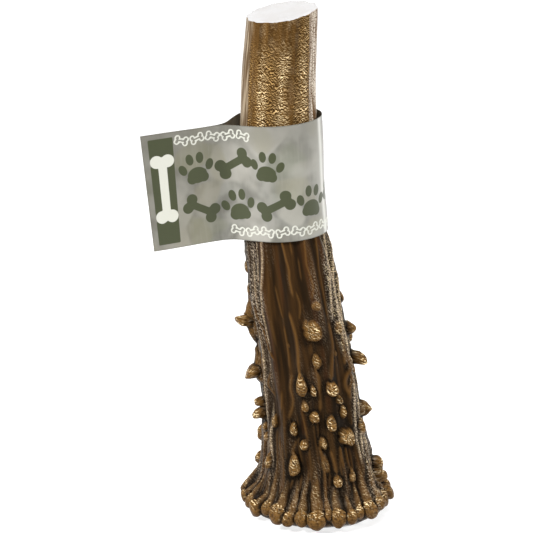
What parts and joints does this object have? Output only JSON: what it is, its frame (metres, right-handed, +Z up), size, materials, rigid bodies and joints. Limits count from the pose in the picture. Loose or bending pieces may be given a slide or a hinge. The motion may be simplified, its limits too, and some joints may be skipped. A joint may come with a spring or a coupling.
{
  "type": "deer antler dog chew",
  "caption": "Foot of a shed deer antler standing on its burr, with pearls and ridges, a slanted sawn top and a film label wrapped round it as a loop with a flat flag.",
  "frame": {"origin": "middle of the flat seal under the burr, which the antler stands on", "axes": "+Z up along the standing antler, the front faces -Y, and the label's flag points to -X"},
  "size_m": [0.0959, 0.0584, 0.2007],
  "materials": {
    "antler": "brown antler with tan ridges and pearls, pale bone at the saw cut and the seal, satin",
    "label_film": "thin printed plastic film, grey-green with olive shapes, satin gloss"
  },
  "bodies": {
    "root": {"antler": "antler", "label_wrap": "label_film"}
  },
  "joints": []
}
